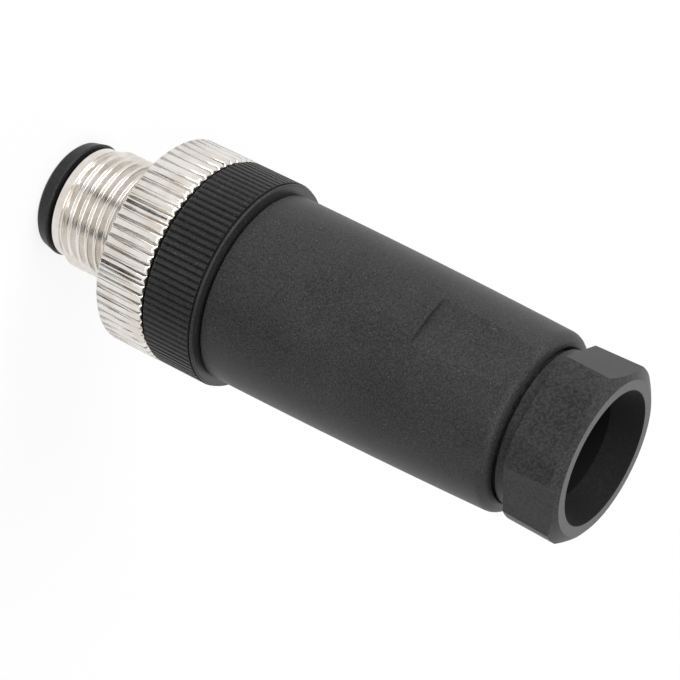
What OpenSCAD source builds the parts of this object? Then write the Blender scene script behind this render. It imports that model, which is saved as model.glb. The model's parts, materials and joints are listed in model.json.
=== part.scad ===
// Four-pole M12 cable plug with screw terminals and a knurled coupling screw.
// The plug stands on the rim of its pin socket: its axis is Z, and the cable gland is on top.
// The origin is on the axis, at the front end of the mating thread.
// Angles about the axis start at +X and grow towards +Y. Lengths are in millimetres.

/* [Coupling screw] */
// Outer diameter of the mating thread, whose turns are left plain
thread_d = 12; // [11.8:0.1:13]
// Length of the mating thread
thread_l = 7; // [5:0.1:10]
// Diameter of the smooth pilot ahead of the thread
pilot_d = 11; // [10.6:0.1:11.6]
// Length of the pilot, from its front end to the thread
pilot_l = 1.65; // [1:0.05:3]
// Width of the fine groove between the pilot and the thread
pilot_groove_w = 0.2; // [0.1:0.05:0.4]
// Length of the relief between the thread and the ring
relief_l = 0.55; // [0.3:0.05:1.5]
// Diameter over the ribs of the coupling ring
ring_d = 20.4; // [19:0.1:24]
// Width of the coupling ring
ring_w = 5.25; // [4.5:0.05:8]
// Number of ribs round the coupling ring
ring_ribs = 64; // [24:1:90]
// Depth of the grooves between those ribs
ring_rib_depth = 0.32; // [0.1:0.02:0.5]
// Share of the ring's rib pitch that the flat crest takes
ring_crest = 0.6; // [0.3:0.05:0.8]
// Bevel at both edges of the coupling ring
ring_bevel = 0.3; // [0.1:0.05:0.5]
// Diameter of the recess behind the ring's web
recess_d = 16.6; // [15:0.1:17.4]
// Thickness of that web
web_t = 1.3; // [0.8:0.05:2]

/* [Front shroud] */
// Outer diameter of the tube that the coupling screw turns on
tube_d = 9.6; // [9:0.05:9.8]
// Wall of the tube
tube_wall = 0.55; // [0.4:0.05:0.7]
// Diameter of the rim at its rear edge
rim_d = 11.3; // [10.4:0.05:11.6]
// Diameter of the rim at its front edge
rim_front_d = 10.75; // [10.2:0.05:11.2]
// Length of the rim
rim_l = 1.5; // [1:0.05:2.5]
// Depth of the pin socket, from the rim's face to its floor
socket_depth = 8.65; // [6:0.05:9.5]
// Thickness of the socket's floor
floor_t = 2; // [1.5:0.1:2.5]
// Width of the coding key in the socket
key_w = 0.9; // [0.6:0.05:1.2]
// Height of the coding key above the socket's wall
key_h = 0.6; // [0.3:0.05:0.7]
// Diameter of the snap lip at the tube's tail
lip_d = 10.5; // [10.1:0.05:11]
// Length of the snap lip
lip_l = 0.6; // [0.4:0.05:1]

/* [Knurled collar] */
// How far the collar's ribs lie inside the coupling ring's
collar_inset = 0.05; // [0:0.05:0.5]
// Width of the collar
collar_w = 5.55; // [4.8:0.05:8]
// Number of ribs round the collar
collar_ribs = 98; // [40:1:120]
// Depth of the grooves between those ribs
collar_rib_depth = 0.22; // [0.1:0.02:0.4]
// Share of the collar's rib pitch that the crest takes
collar_crest = 0.45; // [0.3:0.05:0.8]
// Bevel at the collar's front edge
collar_bevel = 0.2; // [0.1:0.05:0.4]
// Radius of the collar's rounded rear edge
collar_round = 0.35; // [0.2:0.05:0.5]
// Width of the smooth rim behind the ribs
collar_rim_w = 0.4; // [0.3:0.05:0.8]
// Width of the fine groove between the ribs and that rim
collar_groove_w = 0.15; // [0.1:0.05:0.3]
// Diameter of the boss that reaches into the coupling ring
boss_d = 14.4; // [13.6:0.1:14.6]
// Depth of the seat that grips the shroud's tube, behind the collar's front face
tube_seat_l = 3.4; // [2.5:0.1:4]
// Outer diameter of the threaded neck, whose turns are left plain
neck_d = 14.8; // [14:0.1:15]
// Length of the threaded neck behind the collar
neck_l = 6.2; // [5:0.1:6.4]

/* [Neck seal ring] */
// Diameter of the seal ring's section
o_ring_d = 0.9; // [0.7:0.05:1]
// Distance from the collar to the middle of the seal ring
o_ring_back = 0.85; // [0.7:0.05:1]

/* [Terminals] */
// Number of contact pins
pins = 4; // [4:1:4]
// Angle of the first pin about the axis
pin_angle = 45; // [0:5:90]
// Diameter of the circle that the pins stand on
pin_circle_d = 5; // [4.8:0.05:5.2]
// Diameter of a contact pin
pin_d = 1; // [0.8:0.05:1.1]
// Distance from the rim's face back to the pin tips
pin_recess = 1.75; // [1:0.05:3]
// Diameter of a contact's shank inside the block
shank_d = 1.5; // [1.3:0.05:1.8]
// Diameter of a contact's terminal barrel
barrel_d = 2.9; // [2.7:0.05:3]
// Length of a terminal barrel
barrel_l = 9.3; // [7:0.1:10]
// Diameter of the wire hole in a barrel
wire_hole_d = 1.6; // [1.2:0.05:1.8]
// Depth of the wire hole
wire_hole_l = 7.8; // [5:0.1:8]
// Diameter of a terminal screw's thread, whose turns are left plain
screw_d = 1.8; // [1.6:0.05:2]
// Diameter of a terminal screw's head
screw_head_d = 2.4; // [2.2:0.05:2.6]
// Height of a terminal screw's head
screw_head_h = 0.9; // [0.6:0.05:1]
// Distance from the barrel's open end to the screw's axis
screw_back = 2; // [1.8:0.05:2.1]
// Diameter of the terminal block's main part
block_d = 11.8; // [11.4:0.1:12.2]
// Length of the terminal block behind the shroud's tail
block_l = 11.8; // [11.6:0.1:13]

/* [Rear housing] */
// Diameter of the housing at its front edge
housing_front_d = 18.46; // [18.2:0.02:20]
// Diameter of the housing at its rear edge
housing_rear_d = 17.44; // [17.2:0.02:19]
// Length of the housing
housing_l = 30.4; // [29.5:0.1:36]
// Radius of the housing's rounded rear edge
housing_round = 1.05; // [0.3:0.05:1.1]
// Diameter of the wire chamber
chamber_d = 14.6; // [14:0.1:14.8]
// Diameter of the throat between the wire chamber and the seal pocket
throat_d = 10; // [8:0.1:11]
// Length of that throat
throat_l = 0.8; // [0.5:0.1:1.5]
// Length of the conical shoulder ahead of the throat
shoulder_l = 2; // [1:0.1:3]
// Diameter of the seal pocket
pocket_d = 12.8; // [12:0.1:13.2]
// Depth of the seal pocket
pocket_l = 5; // [4:0.1:5.5]
// Depth of the gland's threaded bore
gland_bore_l = 6.8; // [6.2:0.1:7.5]
// Distance of each spanner flat from the axis at its front end
flat_front = 8.54; // [8.3:0.02:8.8]
// Distance of each spanner flat from the axis at the housing's rear end
flat_rear = 8.38; // [8.2:0.02:8.6]
// Length of the spanner flats
flat_l = 10.6; // [6:0.1:16]
// Angle of the spanner flats about the axis
flat_angle = 104.3; // [0:0.1:180]

/* [Cable seal and clamp cage] */
// Bore of the rubber cable seal
seal_bore_d = 6.4; // [6.2:0.1:8]
// Bore of the clamp cage
cage_bore_d = 8.6; // [8.2:0.1:9]
// Number of fingers of the clamp cage
cage_fingers = 10; // [6:1:14]
// Width of the slots between the fingers
cage_slot_w = 0.8; // [0.5:0.05:1]
// Length of the fingers
finger_l = 4.1; // [2.5:0.1:4.2]
// Outer diameter of the fingers at their root
finger_root_d = 11.9; // [11:0.1:12]
// Outer diameter of the fingers at their tips
finger_tip_d = 10.4; // [9.8:0.1:10.6]

/* [Pressure screw] */
// Outer diameter of the gland thread, whose turns are left plain
gland_d = 14; // [13.6:0.1:14.2]
// Length of the gland thread, ahead of the shoulder
gland_l = 5.25; // [4.6:0.05:5.4]
// Diameter of the shoulder ahead of the hexagon
shoulder_d = 14.9; // [14.4:0.1:15.4]
// Length of that shoulder
nut_shoulder_l = 1.3; // [0.6:0.05:2]
// Width of the hexagon across its flats
hex_af = 15.9; // [15.6:0.1:19]
// Length of the hexagon
hex_l = 5.3; // [4.5:0.05:9]
// Diameter over the hexagon's cut corners at its front end
hex_corner_front_d = 16.86; // [16.8:0.02:21]
// Diameter over the hexagon's cut corners at its rear end
hex_corner_rear_d = 17.12; // [16.8:0.02:21]
// Height of the rear chamfer
hex_chamfer_h = 0.7; // [0.3:0.05:1]
// Diameter of the rear face inside the chamfer
nut_face_d = 14.9; // [14:0.1:15.4]
// Diameter of the cable hole
cable_hole_d = 10; // [9:0.1:10.4]
// Length of the cable hole's straight part
cable_hole_l = 4.2; // [2:0.1:5]
// Diameter of the cable hole's mouth
mouth_d = 12.9; // [11:0.1:13.4]
// Diameter of the cone that closes the cage's fingers, at its open end
cone_d = 12.6; // [12.4:0.1:12.8]
// Angle of one of the hexagon's flats about the axis
hex_angle = 62.4; // [0:0.1:180]

/* [Clearances] */
// Radial clearance of what turns or screws
run_gap = 0.05; // [0.03:0.01:0.1]
// Clearance of what is seated for good
seat_gap = 0.05; // [0.02:0.01:0.1]
// Axial play of the coupling screw between the rim and the collar
play = 0.3; // [0.1:0.05:0.4]
// Gap between the coupling ring and the collar
ring_gap = 0.25; // [0.1:0.05:0.4]
// Gap between the collar and the housing, and between the housing and the pressure screw
joint_gap = 0.2; // [0.1:0.05:0.3]

/* [Hidden] */
$fn = 96;
over = 1;            // how far a cutting tool runs past what it cuts
edge = 0.25;         // small bevels on plastic edges
fine_edge = 0.12;    // bevels that only catch the light

// Stations along the axis, from the pins to the cable
sleeve_z0 = -pilot_l;
ring_z0 = thread_l + relief_l;
ring_z1 = ring_z0 + ring_w;
collar_z0 = ring_z1 + ring_gap;
collar_z1 = collar_z0 + collar_w;
rim_z1 = sleeve_z0 - play;
rim_z0 = rim_z1 - rim_l;
floor_z0 = rim_z0 + socket_depth;
floor_z1 = floor_z0 + floor_t;
web_z1 = ring_z0 + web_t;
boss_z0 = web_z1 + play;
lip_z0 = collar_z0 + tube_seat_l;
lip_z1 = lip_z0 + seat_gap + lip_l;
block_z0 = lip_z1 + seat_gap;
block_z1 = block_z0 + block_l;
barrel_z1 = block_z1 - joint_gap;
barrel_z0 = barrel_z1 - barrel_l;
screw_z = barrel_z1 - screw_back;
neck_z1 = collar_z1 + neck_l;
o_ring_z = collar_z1 + o_ring_back;
housing_z0 = collar_z1 + joint_gap;
housing_z1 = housing_z0 + housing_l;
gland_bore_z0 = housing_z1 - gland_bore_l;
pocket_z0 = gland_bore_z0 - pocket_l;
nut_z0 = housing_z1 + joint_gap;
hex_z0 = nut_z0 + nut_shoulder_l;
nut_z1 = hex_z0 + hex_l;
shank_z0 = nut_z0 - gland_l;
cage_z0 = gland_bore_z0 + seat_gap;
cage_z1 = shank_z0 - seat_gap;

// Radii that more than one piece uses
tube_r = tube_d / 2;
socket_r = tube_r - tube_wall;
neck_r = neck_d / 2;
block_r = block_d / 2;
gland_r = gland_d / 2;
cable_hole_r = cable_hole_d / 2;
o_ring_r = o_ring_d / 2;
o_ring_groove_r = neck_r - 0.7 * o_ring_d;
o_ring_mid_r = o_ring_groove_r + seat_gap + o_ring_r;
o_ring_seat_r = o_ring_mid_r + o_ring_r + 2 * run_gap;
o_ring_seat_l = o_ring_back + 1.2 * o_ring_r + edge;
pin_circle_r = pin_circle_d / 2;

// Turns a profile of [radius, z] points about the connector's axis
module turned(points) rotate_extrude() polygon(points);

// Turns what is drawn along +X to an angle about the connector's axis
module clocked(angle) rotate([0, 0, angle]) children();

// A straight round hole or rod along the axis
module rod(r, z0, z1) translate([0, 0, z0]) cylinder(r = r, h = z1 - z0);

// Moves what is drawn on the axis out to contact number k
module at_contact(k) clocked(pin_angle + (k - 1) * 360 / pins) translate([pin_circle_r, 0, 0]) children();

// Outline of a ribbed cylinder: flat crests with a groove of two flanks between them
function rib_outline(r, depth, count, crest) = [
    for (i = [0 : count - 1])
        for (p = [[r, 0.5 - crest / 2], [r, 0.5 + crest / 2], [r - depth, 1]])
            p[0] * [cos((i + p[1]) * 360 / count), sin((i + p[1]) * 360 / count)]];

// A ribbed cylinder along the axis
module ribbed(r, depth, count, crest, z0, z1)
    translate([0, 0, z0]) linear_extrude(height = z1 - z0) polygon(rib_outline(r, depth, count, crest));

// Points of a quarter round that leaves radius r at z1 - size and meets the face at z1
function round_points(r, z1, size, steps = 6) = [
    for (i = [0 : steps]) [r - size * (1 - cos(90 * i / steps)), z1 - size * (1 - sin(90 * i / steps))]];

// Radius of the housing at a share t of its length: nearly straight in front, tapering behind
function housing_r(t) = (housing_front_d - (housing_front_d - housing_rear_d) * t * t) / 2;

module coupling_screw() color("gainsboro") {
    thread_r = thread_d / 2;
    pilot_r = pilot_d / 2;
    ring_r = ring_d / 2;
    difference() {
        union() {
            turned([[0, sleeve_z0], [pilot_r - edge, sleeve_z0], [pilot_r, sleeve_z0 + edge],
                [pilot_r, -3 * pilot_groove_w], [pilot_r - fine_edge, -3 * pilot_groove_w],
                [pilot_r - fine_edge, -2 * pilot_groove_w], [thread_r, 0], [thread_r, thread_l],
                [pilot_r - fine_edge, thread_l], [pilot_r - fine_edge, ring_z0 + web_t / 2],
                [0, ring_z0 + web_t / 2]]);
            intersection() {
                ribbed(ring_r, ring_rib_depth, ring_ribs, ring_crest, ring_z0, ring_z1);
                turned([[0, ring_z0 - over], [ring_r - ring_bevel - over, ring_z0 - over],
                    [ring_r + over, ring_z0 + ring_bevel + over], [ring_r + over, ring_z1 - ring_bevel - over],
                    [ring_r - ring_bevel - over, ring_z1 + over], [0, ring_z1 + over]]);
            }
        }
        rod(tube_r + run_gap, sleeve_z0 - over, ring_z1 + over);
        turned([[0, web_z1], [recess_d / 2, web_z1], [recess_d / 2, ring_z1 - edge],
            [recess_d / 2 + edge + over, ring_z1 + over], [0, ring_z1 + over]]);
    }
}

module front_shroud() color([0.13, 0.13, 0.13]) {
    rim_r = rim_d / 2;
    rim_front_r = rim_front_d / 2;
    lip_r = lip_d / 2;
    difference() {
        turned([[0, rim_z0], [rim_front_r - edge, rim_z0], [rim_front_r, rim_z0 + edge], [rim_r, rim_z1 - fine_edge],
            [rim_r - fine_edge, rim_z1], [tube_r, rim_z1], [tube_r, lip_z0 + seat_gap], [lip_r, lip_z0 + seat_gap],
            [lip_r, lip_z0 + seat_gap + lip_l / 3], [tube_r, lip_z1], [0, lip_z1]]);
        difference() {
            turned([[0, rim_z0 - over], [socket_r + edge + over, rim_z0 - over], [socket_r, rim_z0 + edge],
                [socket_r, floor_z0], [0, floor_z0]]);
            translate([-key_w / 2, socket_r - key_h, rim_z0 + 2 * edge]) cube([key_w, tube_wall + key_h, socket_depth]);
        }
        rod(socket_r, floor_z1, lip_z1 + over);
        for (k = [1 : pins]) at_contact(k) rod(pin_d / 2 + seat_gap, floor_z0 - over, floor_z1 + over);
    }
}

module knurled_collar() color([0.15, 0.15, 0.15]) {
    collar_r = ring_d / 2 - collar_inset;
    rib_z1 = collar_z1 - collar_rim_w;
    rim_r = collar_r - collar_rib_depth / 2;
    groove_r = collar_r - 2 * collar_rib_depth;
    groove_z0 = o_ring_z - 1.1 * o_ring_r;
    groove_z1 = o_ring_z + 1.1 * o_ring_r;
    difference() {
        union() {
            intersection() {
                ribbed(collar_r, collar_rib_depth, collar_ribs, collar_crest, collar_z0, rib_z1);
                turned([[0, collar_z0 - over], [collar_r - collar_bevel - over, collar_z0 - over],
                    [collar_r + over, collar_z0 + collar_bevel + over], [collar_r + over, collar_z1],
                    [0, collar_z1]]);
            }
            turned(concat([[0, boss_z0], [boss_d / 2 - edge, boss_z0], [boss_d / 2, boss_z0 + edge],
                [boss_d / 2, collar_z0 + over], [groove_r, collar_z0 + over], [groove_r, rib_z1 + collar_groove_w],
                [rim_r, rib_z1 + collar_groove_w]],
                round_points(rim_r, collar_z1, collar_round - collar_groove_w, 4),
                [[neck_r, collar_z1], [neck_r, groove_z0], [o_ring_groove_r, groove_z0],
                [o_ring_groove_r, groove_z1], [neck_r, groove_z1], [neck_r, neck_z1 - edge],
                [neck_r - edge, neck_z1], [0, neck_z1]]));
        }
        rod(tube_r + seat_gap, boss_z0 - over, lip_z0 + over);
        rod(block_r + seat_gap, lip_z0, neck_z1 + over);
    }
}

module terminal_block() color([0.2, 0.2, 0.21]) {
    shank_r = shank_d / 2;
    barrel_r = barrel_d / 2;
    well_r = screw_head_d / 2 + 2 * run_gap;
    difference() {
        turned([[0, floor_z1 + seat_gap], [socket_r - seat_gap, floor_z1 + seat_gap], [socket_r - seat_gap, block_z0],
            [block_r, block_z0], [block_r, block_z1 - edge], [block_r - edge, block_z1], [0, block_z1]]);
        for (k = [1 : pins]) at_contact(k) {
            rod(shank_r + seat_gap, floor_z1, barrel_z0 + over);
            rod(barrel_r + seat_gap, barrel_z0 - seat_gap, block_z1 + over);
            translate([0, 0, screw_z]) rotate([0, 90, 0]) cylinder(r = well_r, h = block_r);
        }
    }
}

module contact_pin(k) color("gold") at_contact(k) {
    pin_r = pin_d / 2;
    shank_r = shank_d / 2;
    barrel_r = barrel_d / 2;
    wire_r = wire_hole_d / 2;
    tip_z = rim_z0 + pin_recess;
    shank_z0 = floor_z1 + seat_gap;
    difference() {
        turned([[0, tip_z], [pin_r / 3, tip_z], [pin_r * 0.8, tip_z + pin_r / 3], [pin_r, tip_z + pin_r],
            [pin_r, shank_z0], [shank_r, shank_z0], [shank_r, barrel_z0], [barrel_r, barrel_z0],
            [barrel_r, barrel_z1], [wire_r + fine_edge, barrel_z1], [wire_r, barrel_z1 - fine_edge],
            [wire_r, barrel_z1 - wire_hole_l], [0, barrel_z1 - wire_hole_l - wire_r / 2]]);
        translate([0, 0, screw_z]) rotate([0, 90, 0]) cylinder(d = screw_d + 2 * run_gap, h = barrel_d);
    }
}

module terminal_screw(k) color("silver") at_contact(k) {
    tip = wire_hole_d / 4;
    head = barrel_d / 2 + 3 * seat_gap;
    slot_w = screw_head_d / 7;
    slot_depth = screw_head_h / 2;
    translate([0, 0, screw_z]) difference() {
        rotate([0, 90, 0]) rotate_extrude() polygon([[0, tip], [screw_d / 2 - fine_edge, tip],
            [screw_d / 2, tip + fine_edge], [screw_d / 2, head], [screw_head_d / 2, head],
            [screw_head_d / 2, head + screw_head_h - fine_edge],
            [screw_head_d / 2 - fine_edge, head + screw_head_h], [0, head + screw_head_h]]);
        translate([head + screw_head_h - slot_depth, -slot_w / 2, -screw_head_d])
            cube([slot_depth + over, slot_w, 2 * screw_head_d]);
    }
}

module neck_o_ring() color([0.1, 0.1, 0.1])
    rotate_extrude() translate([o_ring_mid_r, o_ring_z]) circle(r = o_ring_r, $fn = 32);

module rear_housing() color([0.16, 0.16, 0.16]) {
    steps = 10;
    body_l = housing_l - housing_round;
    front_r = housing_front_d / 2;
    thread_bore_r = neck_r + run_gap;
    thread_bore_z1 = neck_z1 + 2 * joint_gap;
    chamber_z1 = pocket_z0 - throat_l - shoulder_l;
    difference() {
        turned(concat([[0, housing_z0], [front_r - edge, housing_z0], [front_r, housing_z0 + edge]],
            [for (i = [1 : steps]) let (t = i / steps) [housing_r(t), housing_z0 + t * body_l]],
            round_points(housing_rear_d / 2, housing_z1, housing_round), [[0, housing_z1]]));
        // Front end: seat of the seal ring, thread, and the chamber for the wires
        turned([[0, housing_z0 - over], [o_ring_seat_r, housing_z0 - over],
            [o_ring_seat_r, housing_z0 + o_ring_seat_l], [thread_bore_r, housing_z0 + o_ring_seat_l + edge],
            [thread_bore_r, thread_bore_z1], [chamber_d / 2, thread_bore_z1], [chamber_d / 2, chamber_z1],
            [throat_d / 2, pocket_z0 - throat_l], [throat_d / 2, pocket_z0 + over], [0, pocket_z0 + over]]);
        // Rear end: seal pocket and the gland's thread
        turned([[0, pocket_z0], [pocket_d / 2, pocket_z0], [pocket_d / 2, gland_bore_z0],
            [gland_r + run_gap, gland_bore_z0], [gland_r + run_gap, housing_z1 - 2 * edge],
            [gland_r + run_gap + 2 * edge + over, housing_z1 + over], [0, housing_z1 + over]]);
        for (side = [0, 180]) clocked(flat_angle + side) spanner_flat();
    }
}

// What is cut away outside one spanner flat, drawn for a flat that faces +X
module spanner_flat() {
    flat_z0 = housing_z1 - flat_l;
    out = housing_front_d;
    translate([0, out / 2, 0]) rotate([90, 0, 0]) linear_extrude(height = out)
        polygon([[flat_front, flat_z0], [flat_rear, housing_z1], [flat_rear, housing_z1 + over],
            [out, housing_z1 + over], [out, flat_z0]]);
}

module cable_seal() color([0.12, 0.12, 0.12]) {
    outer_r = pocket_d / 2 - 2 * run_gap;
    bore_r = seal_bore_d / 2;
    z0 = pocket_z0 + seat_gap;
    z1 = gland_bore_z0;
    turned([[bore_r + edge, z0], [outer_r - edge, z0], [outer_r, z0 + edge], [outer_r, z1 - edge],
        [outer_r - edge, z1], [bore_r + edge, z1], [bore_r, z1 - edge], [bore_r, z0 + edge]]);
}

module clamp_cage() color([0.75, 0.75, 0.72]) {
    base_r = gland_r - 2 * run_gap;
    bore_r = cage_bore_d / 2;
    finger_z1 = cage_z1 + finger_l;
    difference() {
        turned([[bore_r, cage_z0], [base_r - edge, cage_z0], [base_r, cage_z0 + edge], [base_r, cage_z1],
            [finger_root_d / 2, cage_z1], [finger_tip_d / 2, finger_z1], [bore_r, finger_z1]]);
        for (i = [0 : cage_fingers - 1]) clocked((i + 0.5) * 360 / cage_fingers)
            translate([0, -cage_slot_w / 2, cage_z1]) cube([base_r + over, cage_slot_w, finger_l + over]);
    }
}

module pressure_screw() color([0.17, 0.17, 0.17]) {
    shoulder_r = shoulder_d / 2;
    cone_z1 = nut_z1 - (nut_z1 - hex_z0) / 2 - cable_hole_l;
    mouth_z0 = cone_z1 + cable_hole_l;
    chamfer_z0 = nut_z1 - hex_chamfer_h;
    difference() {
        union() {
            turned([[0, shank_z0], [gland_r - edge, shank_z0], [gland_r, shank_z0 + edge], [gland_r, nut_z0],
                [shoulder_r - fine_edge, nut_z0], [shoulder_r, nut_z0 + fine_edge], [shoulder_r, hex_z0],
                [shoulder_r - edge, hex_z0 + edge], [0, hex_z0 + edge]]);
            intersection() {
                clocked(hex_angle + 30) translate([0, 0, hex_z0])
                    cylinder(d = hex_af / cos(30), h = hex_l, $fn = 6);
                turned([[0, hex_z0 - over], [hex_corner_front_d / 2, hex_z0 - over],
                    [hex_corner_front_d / 2, hex_z0], [hex_corner_rear_d / 2, chamfer_z0], [nut_face_d / 2, nut_z1],
                    [0, nut_z1]]);
            }
        }
        turned([[0, shank_z0 - over], [cone_d / 2, shank_z0 - over], [cone_d / 2, shank_z0],
            [cable_hole_r, cone_z1], [cable_hole_r, mouth_z0], [mouth_d / 2, nut_z1],
            [mouth_d / 2, nut_z1 + over], [0, nut_z1 + over]]);
    }
}

coupling_screw();
front_shroud();
knurled_collar();
terminal_block();
contact_pin(1);  // contact_pin_1
contact_pin(2);  // contact_pin_2
contact_pin(3);  // contact_pin_3
contact_pin(4);  // contact_pin_4
terminal_screw(1);  // terminal_screw_1
terminal_screw(2);  // terminal_screw_2
terminal_screw(3);  // terminal_screw_3
terminal_screw(4);  // terminal_screw_4
neck_o_ring();
rear_housing();
cable_seal();
clamp_cage();
pressure_screw();
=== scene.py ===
"""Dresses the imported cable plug: its finishes, the turns of its threads, the studio and the camera."""
import json
import math

import bmesh
import bpy
from mathutils import Matrix, Vector


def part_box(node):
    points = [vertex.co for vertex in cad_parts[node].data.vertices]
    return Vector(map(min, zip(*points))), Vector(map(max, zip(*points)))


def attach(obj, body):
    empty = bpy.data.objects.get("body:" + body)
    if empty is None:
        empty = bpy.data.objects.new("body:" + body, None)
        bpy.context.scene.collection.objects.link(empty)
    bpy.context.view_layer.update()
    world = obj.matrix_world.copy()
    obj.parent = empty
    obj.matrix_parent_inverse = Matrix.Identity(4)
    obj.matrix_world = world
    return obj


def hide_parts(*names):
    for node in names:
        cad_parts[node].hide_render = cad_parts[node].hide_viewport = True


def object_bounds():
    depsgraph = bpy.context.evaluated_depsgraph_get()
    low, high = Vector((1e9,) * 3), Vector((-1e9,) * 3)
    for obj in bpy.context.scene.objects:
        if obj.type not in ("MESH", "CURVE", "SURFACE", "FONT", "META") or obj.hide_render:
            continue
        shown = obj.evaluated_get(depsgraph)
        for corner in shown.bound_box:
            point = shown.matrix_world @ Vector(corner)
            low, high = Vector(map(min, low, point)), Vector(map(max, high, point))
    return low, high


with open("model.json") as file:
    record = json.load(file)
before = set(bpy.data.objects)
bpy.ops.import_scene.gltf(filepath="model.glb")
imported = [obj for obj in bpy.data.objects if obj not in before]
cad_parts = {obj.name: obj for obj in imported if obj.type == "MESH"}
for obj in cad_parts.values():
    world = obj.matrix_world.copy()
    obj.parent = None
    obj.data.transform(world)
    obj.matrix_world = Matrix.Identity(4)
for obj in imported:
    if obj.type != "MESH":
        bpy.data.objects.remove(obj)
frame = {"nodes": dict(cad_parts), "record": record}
cad_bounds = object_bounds()

MM = 0.001


def mount(name):
    """One of the record's mounts, by name."""
    return next(m for m in frame["record"]["mounts"] if m["name"] == name)


# ---------------------------------------------------------------- shader maths


class Field:
    """A node's output socket. Arithmetic on it adds Math nodes."""

    def __init__(self, finish, socket):
        self.finish = finish
        self.socket = socket

    def maths(self, operation, first, second):
        return self.finish.node("ShaderNodeMath", {"operation": operation}, {0: first, 1: second})

    def __add__(self, other):
        return self.maths("ADD", self, other)

    __radd__ = __add__

    def __sub__(self, other):
        return self.maths("SUBTRACT", self, other)

    def __rsub__(self, other):
        return self.maths("SUBTRACT", other, self)

    def __mul__(self, other):
        return self.maths("MULTIPLY", self, other)

    __rmul__ = __mul__

    def highest(self, other):
        return self.maths("MAXIMUM", self, other)

    def ramp(self, low, high, to_low=0.0, to_high=1.0):
        """A smooth step from to_low, where the field is low, to to_high, where it is high."""
        return self.finish.node(
            "ShaderNodeMapRange",
            {"interpolation_type": "SMOOTHSTEP"},
            {"Value": self, "From Min": low, "From Max": high, "To Min": to_low, "To Max": to_high},
        )


class Finish:
    """A material, or the world, whose nodes come from one method."""

    def __init__(self, owner):
        owner.use_nodes = True
        self.owner = owner
        self.tree = owner.node_tree

    def node(self, kind, settings=None, sockets=None, output=0):
        """Adds a node, sets it up, feeds its sockets and returns one of its outputs."""
        made = self.tree.nodes.new(kind)
        for name, value in (settings or {}).items():
            setattr(made, name, value)
        for name, value in (sockets or {}).items():
            self.feed(made.inputs[name], value)
        return Field(self, made.outputs[output])

    def feed(self, socket, value):
        if isinstance(value, Field):
            self.tree.links.new(value.socket, socket)
        else:
            socket.default_value = value

    def blend(self, factor, first, second):
        """Mixes two colours."""
        return self.node("ShaderNodeMix", {"data_type": "RGBA"}, {0: factor, 6: first, 7: second}, output=2)

    def place(self):
        """Where a point of the surface is on the part, in metres."""
        return self.node("ShaderNodeTexCoord", output="Object")

    def squeezed(self, place, scale):
        """The place with each axis scaled by its own factor."""
        return self.node("ShaderNodeMapping", {}, {"Vector": place, "Scale": scale})

    def noise(self, place, grain, detail=2.0, roughness=0.5):
        """Noise whose features are about grain metres across."""
        sockets = {"Vector": place, "Scale": 1 / grain, "Detail": detail, "Roughness": roughness}
        return self.node("ShaderNodeTexNoise", {}, sockets)

    def bump(self, height, depth, strength=1.0):
        """A bump whose height runs over depth metres."""
        return self.node("ShaderNodeBump", {}, {"Height": height, "Distance": depth, "Strength": strength})


def grey(level):
    return (level, level, level, 1.0)


def surface(name, **sockets):
    """A material with a Principled shader, and the finish that builds its nodes."""
    finish = Finish(bpy.data.materials.new(name))
    shader = finish.tree.nodes["Principled BSDF"]
    for socket, value in sockets.items():
        shader.inputs[socket.replace("_", " ")].default_value = value
    return finish, shader


def wear(finish, shader, **fields):
    """Links what varies over the surface to the shader."""
    for socket, field in fields.items():
        finish.feed(shader.inputs[socket.replace("_", " ")], field)
    return finish.owner


# ------------------------------------------------------------------- finishes


def nickel():
    """Turned brass with satin nickel plating, a little warm, with faint turning marks."""
    finish, shader = surface("nickel_plating", Metallic=1.0, IOR=1.5)
    place = finish.place()
    turning = finish.noise(finish.squeezed(place, (0.04, 0.04, 1.0)), 0.06 * MM, detail=3.0)
    cloud = finish.noise(place, 2.2 * MM, detail=3.0)
    speckle = finish.noise(place, 0.22 * MM, detail=2.0)
    tint = finish.blend(cloud.ramp(0.35, 0.65), (0.70, 0.655, 0.60, 1.0), (0.80, 0.77, 0.735, 1.0))
    dull = speckle.ramp(0.66, 0.74)
    return wear(
        finish,
        shader,
        Base_Color=finish.blend(dull * 0.35, tint, (0.45, 0.41, 0.37, 1.0)),
        Roughness=cloud.ramp(0.3, 0.7, 0.13, 0.19) + turning.ramp(0.3, 0.7, 0.0, 0.06) + dull * 0.1,
        Normal=finish.bump(turning, 0.0004 * MM),
    )


# Black plastic
SHEEN = 0.20                # how strongly it mirrors the studio
DARKEST, PALEST = 0.55, 1.55    # how far its grain takes its grey down and up
CLOUD_SIZE = 5.0 * MM
DUST_SIZE = 0.16 * MM
DUST_SHOWS = (0.71, 0.76)   # where in its noise a speck begins and is whole
DUST_GREY = 0.17
# The gland's bore is darkened with painted shade, which stands in for its depth.
BORE_SHADE_R = 6.55 * MM
BORE_SHADE_EDGE = 0.15 * MM
BORE_PAINTED_SHADE_GREY = 0.0015
BORE_DULLING = 0.35


def inside_bore(finish, place):
    """1 within the radius of the gland's bore and 0 outside it."""
    flat = finish.squeezed(place, (1.0, 1.0, 0.0))
    radius = finish.node("ShaderNodeVectorMath", {"operation": "LENGTH"}, {0: flat}, output="Value")
    return 1 - radius.ramp(BORE_SHADE_R - BORE_SHADE_EDGE, BORE_SHADE_R)


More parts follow.
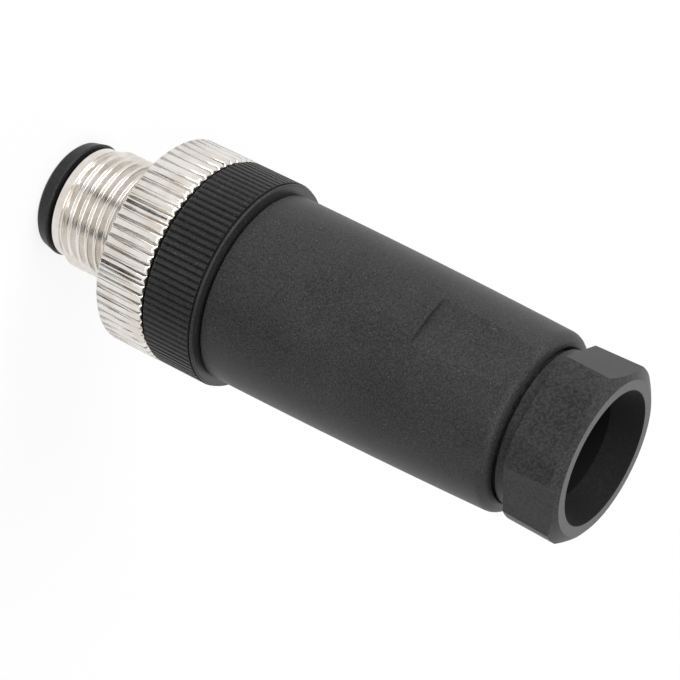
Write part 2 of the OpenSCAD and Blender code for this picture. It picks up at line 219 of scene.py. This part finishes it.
def moulded(name, level, grain, depth, rough, specks, painted_shade_in_bore=False):
    """Black moulded plastic: fine eroded grain, soft clouding and a few pale dust specks, with painted shade in
    the gland's bore where asked.
    """
    finish, shader = surface(name, IOR=1.49, Specular_IOR_Level=SHEEN)
    place = finish.place()
    erosion = finish.noise(place, grain, detail=3.0, roughness=0.6)
    cloud = finish.noise(place, CLOUD_SIZE, detail=2.0)
    dust = finish.noise(place, DUST_SIZE, detail=1.0).ramp(*DUST_SHOWS) * specks
    tone = erosion.ramp(0.35, 0.65, 0.1, 0.9) + cloud.ramp(0.3, 0.7, -0.1, 0.1)
    plain = finish.blend(tone, grey(level * DARKEST), grey(level * PALEST))
    dulled = 0.0
    if painted_shade_in_bore:
        inside = inside_bore(finish, place)
        # Painted shade: inside the bore the colour goes near black, standing in for its depth.
        plain = finish.blend(inside, plain, grey(BORE_PAINTED_SHADE_GREY))
        dust = dust * (1 - inside)
        dulled = inside * BORE_DULLING
    return wear(
        finish,
        shader,
        Base_Color=finish.blend(dust, plain, grey(DUST_GREY)),
        Roughness=erosion.ramp(0.3, 0.7, rough - 0.05, rough + 0.07) + dulled,
        Normal=finish.bump(erosion, depth),
    )


def rubber():
    """Black sealing rubber with a bloom."""
    finish, shader = surface("seal_rubber", IOR=1.52)
    bloom = finish.noise(finish.place(), 0.8 * MM, detail=3.0)
    return wear(
        finish,
        shader,
        Base_Color=finish.blend(bloom.ramp(0.4, 0.7), grey(0.018), grey(0.032)),
        Roughness=bloom.ramp(0.3, 0.7, 0.62, 0.78),
        Normal=finish.bump(bloom, 0.01 * MM),
    )


def plated(name, pale, deep, rough):
    """Small turned metal pieces: contacts and screws."""
    finish, shader = surface(name, Metallic=1.0, IOR=1.5)
    place = finish.place()
    turning = finish.noise(finish.squeezed(place, (0.08, 0.08, 1.0)), 0.05 * MM, detail=2.0)
    cloud = finish.noise(place, 0.9 * MM)
    return wear(
        finish,
        shader,
        Base_Color=finish.blend(cloud.ramp(0.35, 0.65), deep, pale),
        Roughness=turning.ramp(0.3, 0.7, rough, rough + 0.1),
        Normal=finish.bump(turning, 0.001 * MM),
    )


# For moulded: its level of grey, the size and depth of its grain, its roughness and its share of specks.
FINISHES = {
    "nickel": nickel(),
    "black_plastic": moulded("rim_plastic", 0.018, 0.20 * MM, 0.010 * MM, 0.42, 0.3),
    "collar_plastic": moulded("collar_plastic", 0.022, 0.14 * MM, 0.010 * MM, 0.40, 0.5),
    "housing_plastic": moulded("housing_plastic", 0.026, 0.17 * MM, 0.034 * MM, 0.42, 0.45),
    # the gland's plastic also gets painted shade inside its bore
    "gland_plastic": moulded("gland_plastic", 0.024, 0.26 * MM, 0.016 * MM, 0.40, 0.25, painted_shade_in_bore=True),
    "insulator": moulded("insulator_plastic", 0.012, 0.20 * MM, 0.004 * MM, 0.50, 0.1),
    "cage_plastic": moulded("cage_plastic", 0.016, 0.20 * MM, 0.004 * MM, 0.45, 0.1),
    "seal_rubber": rubber(),
    "contact_gold": plated("contact_gold", (0.92, 0.68, 0.30, 1.0), (0.80, 0.55, 0.20, 1.0), 0.16),
    "screw_steel": plated("screw_steel", (0.74, 0.74, 0.75, 1.0), (0.60, 0.60, 0.61, 1.0), 0.26),
}

CREASE = math.radians(24)           # edges sharper than this stay sharp
THREAD_CREASE = math.radians(38)    # the turns' flanks stay smooth under this

slot_of = {part["node"]: part["material_slot"] for part in frame["record"]["subparts"]}
for name, solid in frame["nodes"].items():
    solid.data.materials.clear()
    solid.data.materials.append(FINISHES[slot_of[name]])


# ------------------------------------------------- coupling screw, with its turns

thread = mount("mating_thread")["dims"]
THREAD_R = thread["r_mm"] * MM
THREAD_L = thread["length_mm"] * MM
PITCH = 1.0 * MM
THREAD_DEPTH = 0.56 * MM
THREAD_START = 0.44     # turns by which the helix is set back from +X
RUN_OUT = 1.4           # slope of the last turn's fall into the relief
ROOT_SHARE = 0.08       # share of the pitch that the root takes
CREST_SHARE = 0.10      # share of the pitch that the rounded crest takes
PILOT_R = 5.5 * MM      # plain stretch ahead of the thread
GROOVE_STEP = 0.12 * MM
GROOVE_W = 0.2 * MM
GROOVE_Z0 = -3 * GROOVE_W       # the groove between the pilot and the thread
GROOVE_Z1 = -2 * GROOVE_W
BORE_R = 4.85 * MM
FRONT_BEVEL = 0.25 * MM
SEAM_Z = THREAD_L + 0.25 * MM   # where the threaded sleeve meets the ribbed ring
WELD = 0.001 * MM
AROUND = 192            # points round the sleeve
PER_PITCH = 24          # stations in each turn


def smooth_step(t):
    t = min(max(t, 0.0), 1.0)
    return t * t * (3 - 2 * t)


def turn_height(z, turns):
    """How high the thread stands at a place along the axis and round it, from 0 at the root to 1."""
    phase = (z / PITCH - turns + THREAD_START) % 1.0
    flank = (abs(2 * phase - 1) - ROOT_SHARE) / (1 - ROOT_SHARE - CREST_SHARE)
    return smooth_step(flank)


def sleeve_r(z, turns):
    """Radius of the pilot and thread at a place along the axis and round it."""
    floor = PILOT_R - GROOVE_STEP
    if z < GROOVE_Z1:
        return floor if z > GROOVE_Z0 else PILOT_R
    cut = THREAD_R - THREAD_DEPTH * (1 - turn_height(z, turns))
    run_in = floor + (z - GROOVE_Z1)
    run_out = floor + (THREAD_L - z) * RUN_OUT
    return max(min(cut, run_in, run_out), floor) if z < THREAD_L else floor


def sleeve_stations(front):
    """Stations along the axis, close together where the thread is."""
    edge = 0.01 * MM
    plain = [front + FRONT_BEVEL, GROOVE_Z0 - edge, GROOVE_Z0 + edge, GROOVE_Z1 - edge]
    step = PITCH / PER_PITCH
    length = SEAM_Z - GROOVE_Z1
    count = math.ceil(length / step)
    return plain + [GROOVE_Z1 + length * i / count for i in range(count + 1)]


def threaded_sleeve(mesh, front):
    """A closed tube: the pilot and thread outside, the plain bore inside."""
    def ring(z, radius_at):
        points = []
        for i in range(AROUND):
            angle = 2 * math.pi * i / AROUND
            r = radius_at(i / AROUND)
            points.append(mesh.verts.new((r * math.cos(angle), r * math.sin(angle), z)))
        return points

    rings = [ring(front, lambda turns: PILOT_R - FRONT_BEVEL)]
    rings += [ring(z, lambda turns, z=z: sleeve_r(z, turns)) for z in sleeve_stations(front)]
    rings += [ring(SEAM_Z, lambda turns: BORE_R), ring(front, lambda turns: BORE_R)]
    for here, there in zip(rings, rings[1:] + rings[:1]):
        for i in range(AROUND):
            j = (i + 1) % AROUND
            mesh.faces.new((here[i], there[i], there[j], here[j]))


def ribbed_ring(mesh, solid):
    """The solid's own ring, behind the seam, closed there by an annulus."""
    mesh.from_mesh(solid.data)
    bmesh.ops.remove_doubles(mesh, verts=mesh.verts, dist=WELD)
    everything = mesh.verts[:] + mesh.edges[:] + mesh.faces[:]
    bmesh.ops.bisect_plane(mesh, geom=everything, plane_co=(0, 0, SEAM_Z), plane_no=(0, 0, 1), clear_inner=True)
    rim = [e for e in mesh.edges if e.is_boundary]
    bmesh.ops.bridge_loops(mesh, edges=rim)


def finished(name, build, finish, body, crease):
    """Makes a piece from mesh code and lets it ride on a body."""
    mesh = bmesh.new()
    build(mesh)
    bmesh.ops.recalc_face_normals(mesh, faces=mesh.faces)
    data = bpy.data.meshes.new(name)
    mesh.to_mesh(data)
    mesh.free()
    data.materials.append(FINISHES[finish])
    for face in data.polygons:
        face.use_smooth = True
    data.set_sharp_from_angle(angle=crease)
    piece = bpy.data.objects.new(name, data)
    bpy.context.scene.collection.objects.link(piece)
    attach(piece, body)
    return piece


screw_solid = frame["nodes"]["coupling_screw"]
sleeve_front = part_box("coupling_screw")[0].z
sleeve = finished("mating_thread_sleeve", lambda mesh: threaded_sleeve(mesh, sleeve_front), "nickel",
                  "coupling_screw", THREAD_CREASE)
ring = finished("coupling_ring", lambda mesh: ribbed_ring(mesh, screw_solid), "nickel", "coupling_screw", CREASE)
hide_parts("coupling_screw")
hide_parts("coupling_screw")

# --------------------------------------------------------------------- studio

FLOOR_GAP = 0.02 * MM
FLOOR_Z = cad_bounds[0].z - FLOOR_GAP

# The camera stands over the plug and is rolled, so that the plug lies across the view.
LEAN = math.radians(35.9)       # how far the view swings from square on, toward the gland's end
HEIGHT = math.radians(43.47)    # how far it then swings round, toward +Y
SENSOR = 36.0
IMAGE_SIDE = 680        # the image's side, in its own units
FOCAL = 3000            # the focal length, in the same units
SCALE = 10.84 / MM      # how many of them a metre takes up at the aim
AIM = Vector((0.0, 0.0, 13.0)) * MM
SHIFT_RIGHT = 11.96 * MM
SHIFT_UP = -7.13 * MM

back = Vector((
    -math.cos(LEAN) * math.cos(HEIGHT),
    math.sin(HEIGHT),
    math.sin(LEAN) * math.cos(HEIGHT),
))
right = Vector((math.sin(LEAN), 0.0, math.cos(LEAN)))
up = back.cross(right)


def make_camera():
    data = bpy.data.cameras.new("camera")
    data.sensor_width = SENSOR
    data.lens = FOCAL / IMAGE_SIDE * SENSOR
    data.clip_start = 0.01
    data.clip_end = 20.0
    camera = bpy.data.objects.new("camera", data)
    bpy.context.scene.collection.objects.link(camera)
    place = AIM + back * (FOCAL / SCALE) + right * SHIFT_RIGHT + up * SHIFT_UP
    turn = Matrix((right, up, back)).transposed().to_4x4()
    camera.matrix_world = Matrix.Translation(place) @ turn
    bpy.context.scene.camera = camera


def seen_white(finish):
    """1 for rays from the camera, off glossy surfaces and through glass, and 0 for the rest."""
    rays = {name: finish.node("ShaderNodeLightPath", output=name) for name in
            ("Is Camera Ray", "Is Glossy Ray", "Is Transmission Ray")}
    seen = rays["Is Camera Ray"]
    return seen.highest(rays["Is Glossy Ray"]).highest(rays["Is Transmission Ray"])


def make_world(light):
    world = bpy.data.worlds.new("studio")
    bpy.context.scene.world = world
    finish = Finish(world)
    finish.tree.nodes.clear()
    seen = seen_white(finish)
    shade = finish.node("ShaderNodeBackground", {}, {"Color": grey(1.0), "Strength": seen * (1 - light) + light})
    out = finish.tree.nodes.new("ShaderNodeOutputWorld")
    finish.feed(out.inputs["Surface"], shade)


def make_floor(size, keep):
    """A pale floor that looks white but keeps a share of its shading, and so the shadow."""
    mesh = bpy.data.meshes.new("floor")
    h = size / 2
    mesh.from_pydata([(-h, -h, 0), (h, -h, 0), (h, h, 0), (-h, h, 0)], [], [(0, 1, 2, 3)])
    floor = bpy.data.objects.new("floor", mesh)
    floor.location.z = FLOOR_Z
    bpy.context.scene.collection.objects.link(floor)
    finish = Finish(bpy.data.materials.new("floor"))
    finish.tree.nodes.clear()
    paper = finish.node("ShaderNodeBsdfDiffuse", {}, {"Color": grey(0.93)})
    glow = finish.node("ShaderNodeEmission", {}, {"Color": grey(1.0), "Strength": 1.0})
    seen = seen_white(finish)
    mixed = finish.node("ShaderNodeMixShader", {}, {0: seen * (1 - keep), 1: paper, 2: glow})
    out = finish.tree.nodes.new("ShaderNodeOutputMaterial")
    finish.feed(out.inputs["Surface"], mixed)
    mesh.materials.append(finish.owner)


def aimed(thing, place, target=AIM):
    """Puts a lamp or card somewhere, facing the target."""
    thing.location = Vector(place)
    thing.rotation_mode = "QUATERNION"
    thing.rotation_quaternion = (thing.location - target).to_track_quat("Z", "Y")


def make_softbox(name, place, size, power):
    data = bpy.data.lights.new(name, "AREA")
    data.shape = "RECTANGLE"
    data.size, data.size_y = size
    data.energy = power
    lamp = bpy.data.objects.new(name, data)
    bpy.context.scene.collection.objects.link(lamp)
    aimed(lamp, place)


def mirrored(angle):
    """Where the camera looks, off a metal face that stands at an angle round the axis."""
    face = Vector((math.cos(math.radians(angle)), math.sin(math.radians(angle)), 0.0))
    return 2 * face.dot(back) * face - back


CARD_LIFT = 0.4 * MM
CARD_GREY = 0.02
WEDGE_NEAR = 13 * MM
WEDGE_FAR = 300 * MM


def make_dark_wedge(name, toward, half_turn):
    """A dark wedge just over the floor, pointing at the plug, that only shows as a line in the metal."""
    heading = math.atan2(toward.y, toward.x)
    corners = [(r * math.cos(heading + side * half_turn), r * math.sin(heading + side * half_turn), 0.0)
               for r, side in ((WEDGE_NEAR, -1), (WEDGE_FAR, -1), (WEDGE_FAR, 1), (WEDGE_NEAR, 1))]
    mesh = bpy.data.meshes.new(name)
    mesh.from_pydata(corners, [], [(0, 1, 2, 3)])
    card = bpy.data.objects.new(name, mesh)
    bpy.context.scene.collection.objects.link(card)
    card.location.z = FLOOR_Z + CARD_LIFT
    finish = Finish(bpy.data.materials.new(name))
    shader = finish.tree.nodes["Principled BSDF"]
    shader.inputs["Base Color"].default_value = grey(CARD_GREY)
    shader.inputs["Roughness"].default_value = 1.0
    mesh.materials.append(finish.owner)
    card.visible_camera = False
    card.visible_diffuse = False
    card.visible_shadow = False
    card.visible_transmission = False


make_camera()
make_world(light=0.5)
make_floor(size=6.0, keep=0.18)
SOFTBOXES = {       # place, size and power of each
    "softbox_side": ((0.15, 0.62, 0.42), (0.6, 0.5), 4.5),
    "softbox_front": ((-0.45, 0.30, 0.55), (0.4, 0.4), 1.6),
    "softbox_rear": ((0.35, -0.45, 0.55), (0.4, 0.4), 1.6),
}
for name, (place, size, power) in SOFTBOXES.items():
    make_softbox(name, place, size, power)

DARK_WEDGES = {     # the metal face that mirrors each, and half its spread, in degrees round the axis
    "dark_wedge_side": (122, 5),
    "dark_wedge_low": (152, 7),
}
for name, (face, half) in DARK_WEDGES.items():
    make_dark_wedge(name, mirrored(face), math.radians(half))

scene = bpy.context.scene
scene.view_settings.view_transform = "Standard"
